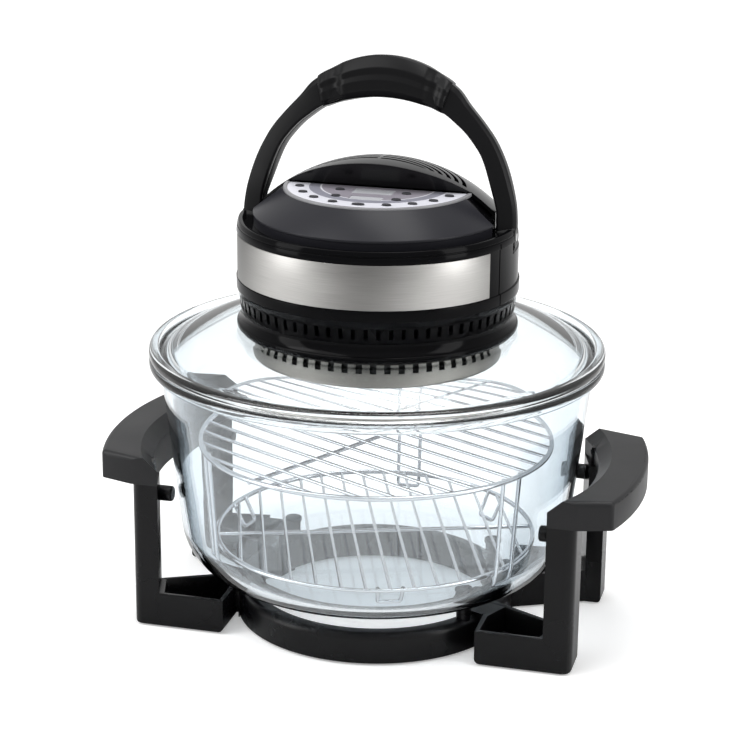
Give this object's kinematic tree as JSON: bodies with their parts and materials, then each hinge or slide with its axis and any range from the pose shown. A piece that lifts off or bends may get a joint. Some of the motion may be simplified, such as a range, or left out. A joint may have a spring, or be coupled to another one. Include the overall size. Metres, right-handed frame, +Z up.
{
  "type": "halogen oven",
  "caption": "Round countertop halogen oven: glass bowl in a four-legged stand, lift-off glass lid carrying the heater and fan head with push buttons and a folding carry handle.",
  "frame": {"origin": "on the floor under the middle of the appliance", "axes": "+Z up; -Y is the control panel side; X runs through the two side handles and the carry handle pivots"},
  "size_m": [0.404, 0.335, 0.4222],
  "materials": {
    "stand_black": "satin moulded black",
    "handle_black": "satin moulded black",
    "soft_pad": "soft matt rubber",
    "screw_steel": "plated steel",
    "bowl_glass": "clear heat-resistant glass",
    "lid_glass": "clear heat-resistant glass",
    "rack_wire": "bright plated wire",
    "housing_black": "gloss moulded black",
    "brushed_band": "brushed round the head",
    "skirt_grey": "satin dark grey",
    "panel_print": "printed silver-grey film",
    "bezel_grey": "satin grey",
    "display_film": "dark display window",
    "circuit_board": "coated board",
    "cover_black": "gloss moulded black",
    "hood_gloss": "polished black",
    "grip_black": "satin moulded black",
    "button_dark": "satin dark grey",
    "bracket_zinc": "zinc-coated sheet",
    "guard_steel": "pressed perforated steel",
    "grille_wire": "plated wire",
    "quartz": "quartz tube",
    "tube_cap_ceramic": "matt white ceramic",
    "reflector_alu": "bright sheet",
    "insulation": "matt fibre board",
    "motor_case": "rolled steel case",
    "fan_alu": "pressed sheet",
    "fan_plastic": "moulded"
  },
  "bodies": {
    "stand": {"base_ring": "stand_black", "leg_front_right": "stand_black", "leg_front_left": "stand_black", "leg_rear_right": "stand_black", "leg_rear_left": "stand_black", "side_handle_right": "handle_black", "side_handle_left": "handle_black", "bowl_bumpers": "stand_black", "bowl_rests": "stand_black", "rest_pads": "soft_pad", "rubber_feet": "soft_pad", "stand_screws": "screw_steel"},
    "bowl": {"glass_bowl": "bowl_glass"},
    "upper_rack": {"high_rack": "rack_wire"},
    "lower_rack": {"low_rack": "rack_wire"},
    "carry_handle": {"handle_arch": "grip_black", "handle_grip": "grip_black"},
    "rotor": {"motor_shaft": "screw_steel", "convection_fan": "fan_alu", "cooling_fan": "fan_plastic"},
    "key_inner_1": {"button_inner_1": "button_dark"},
    "key_inner_2": {"button_inner_2": "button_dark"},
    "key_inner_3": {"button_inner_3": "button_dark"},
    "key_inner_4": {"button_inner_4": "button_dark"},
    "key_outer_1": {"button_outer_1": "button_dark"},
    "key_outer_2": {"button_outer_2": "button_dark"},
    "key_outer_3": {"button_outer_3": "button_dark"},
    "key_outer_4": {"button_outer_4": "button_dark"},
    "key_outer_5": {"button_outer_5": "button_dark"},
    "key_outer_6": {"button_outer_6": "button_dark"},
    "key_outer_7": {"button_outer_7": "button_dark"},
    "key_outer_8": {"button_outer_8": "button_dark"},
    "key_outer_9": {"button_outer_9": "button_dark"},
    "lid": {"cable_gland": "soft_pad", "control_panel": "panel_print", "display_lower": "display_film", "display_upper": "display_film", "front_skirt": "skirt_grey", "glass_lid": "lid_glass", "guard_grille": "grille_wire", "halogen_tube": "quartz", "handle_pins": "screw_steel", "heater_guard": "guard_steel", "hood_plate": "hood_gloss", "housing_screws": "screw_steel", "insulation_plate": "insulation", "lid_gasket": "soft_pad", "lower_flange": "housing_black", "motor": "motor_case", "motor_bracket": "bracket_zinc", "motor_housing": "housing_black", "panel_bezel": "bezel_grey", "pin_brackets": "bracket_zinc", "power_board": "circuit_board", "reflector": "reflector_alu", "steel_band": "brushed_band", "switch_board": "circuit_board", "top_cover": "cover_black", "tube_caps": "tube_cap_ceramic"}
  },
  "joints": [
    {"name": "bowl_lift", "type": "slide", "parent": "stand", "child": "bowl", "axis": [0, 0, 1], "range_m": [0, 0.15]},
    {"name": "lid_lift", "type": "slide", "parent": "bowl", "child": "lid", "axis": [0, 0, 1], "range_m": [0, 0.12]},
    {"name": "upper_rack_lift", "type": "slide", "parent": "bowl", "child": "upper_rack", "axis": [0, 0, 1], "range_m": [0, 0.05]},
    {"name": "lower_rack_lift", "type": "slide", "parent": "bowl", "child": "lower_rack", "axis": [0, 0, 1], "range_m": [0, 0.05]},
    {"name": "carry_handle_pivot", "type": "hinge", "parent": "lid", "child": "carry_handle", "pos_m": [0, 0, 0.299], "axis": [-1, 0, 0], "range_deg": [-10, 55]},
    {"name": "rotor_spin", "type": "hinge", "parent": "lid", "child": "rotor", "pos_m": [0, 0, 0.26], "axis": [0, 0, 1], "continuous": true},
    {"name": "inner_1_press", "type": "slide", "parent": "lid", "child": "key_inner_1", "axis": [0, 0, -1], "range_m": [0, 0.0008], "stiffness_N_per_m": 500, "springref_m": -0.0008},
    {"name": "inner_2_press", "type": "slide", "parent": "lid", "child": "key_inner_2", "axis": [0, 0, -1], "range_m": [0, 0.0008], "stiffness_N_per_m": 500, "springref_m": -0.0008},
    {"name": "inner_3_press", "type": "slide", "parent": "lid", "child": "key_inner_3", "axis": [0, 0, -1], "range_m": [0, 0.0008], "stiffness_N_per_m": 500, "springref_m": -0.0008},
    {"name": "inner_4_press", "type": "slide", "parent": "lid", "child": "key_inner_4", "axis": [0, 0, -1], "range_m": [0, 0.0008], "stiffness_N_per_m": 500, "springref_m": -0.0008},
    {"name": "outer_1_press", "type": "slide", "parent": "lid", "child": "key_outer_1", "axis": [0, 0, -1], "range_m": [0, 0.0008], "stiffness_N_per_m": 500, "springref_m": -0.0008},
    {"name": "outer_2_press", "type": "slide", "parent": "lid", "child": "key_outer_2", "axis": [0, 0, -1], "range_m": [0, 0.0008], "stiffness_N_per_m": 500, "springref_m": -0.0008},
    {"name": "outer_3_press", "type": "slide", "parent": "lid", "child": "key_outer_3", "axis": [0, 0, -1], "range_m": [0, 0.0008], "stiffness_N_per_m": 500, "springref_m": -0.0008},
    {"name": "outer_4_press", "type": "slide", "parent": "lid", "child": "key_outer_4", "axis": [0, 0, -1], "range_m": [0, 0.0008], "stiffness_N_per_m": 500, "springref_m": -0.0008},
    {"name": "outer_5_press", "type": "slide", "parent": "lid", "child": "key_outer_5", "axis": [0, 0, -1], "range_m": [0, 0.0008], "stiffness_N_per_m": 500, "springref_m": -0.0008},
    {"name": "outer_6_press", "type": "slide", "parent": "lid", "child": "key_outer_6", "axis": [0, 0, -1], "range_m": [0, 0.0008], "stiffness_N_per_m": 500, "springref_m": -0.0008},
    {"name": "outer_7_press", "type": "slide", "parent": "lid", "child": "key_outer_7", "axis": [0, 0, -1], "range_m": [0, 0.0008], "stiffness_N_per_m": 500, "springref_m": -0.0008},
    {"name": "outer_8_press", "type": "slide", "parent": "lid", "child": "key_outer_8", "axis": [0, 0, -1], "range_m": [0, 0.0008], "stiffness_N_per_m": 500, "springref_m": -0.0008},
    {"name": "outer_9_press", "type": "slide", "parent": "lid", "child": "key_outer_9", "axis": [0, 0, -1], "range_m": [0, 0.0008], "stiffness_N_per_m": 500, "springref_m": -0.0008}
  ]
}
